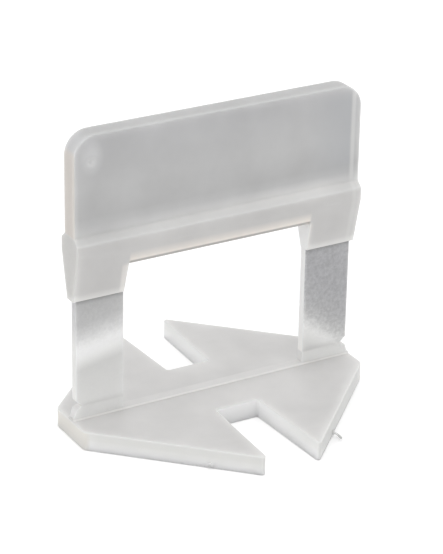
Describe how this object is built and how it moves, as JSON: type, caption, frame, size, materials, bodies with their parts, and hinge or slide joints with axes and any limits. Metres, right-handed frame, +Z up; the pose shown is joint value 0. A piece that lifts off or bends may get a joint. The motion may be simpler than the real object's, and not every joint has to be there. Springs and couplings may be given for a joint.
{
  "type": "tile levelling clip",
  "caption": "Translucent one-piece tile levelling clip: fishtail base plate, thin notched break-off legs, and a thick collared head over a wide wedge window.",
  "frame": {"origin": "on the underside of the plate, at the middle of its outline", "axes": "+X along the tile joint, from leg to leg; +Y across the joint, through the wedge window; +Z up the legs to the head"},
  "size_m": [0.0442, 0.0426, 0.044],
  "materials": {
    "polypropylene": "satin moulded natural polypropylene, milky and translucent, with frosted legs"
  },
  "bodies": {
    "root": {"levelling_clip": "polypropylene"}
  },
  "joints": []
}
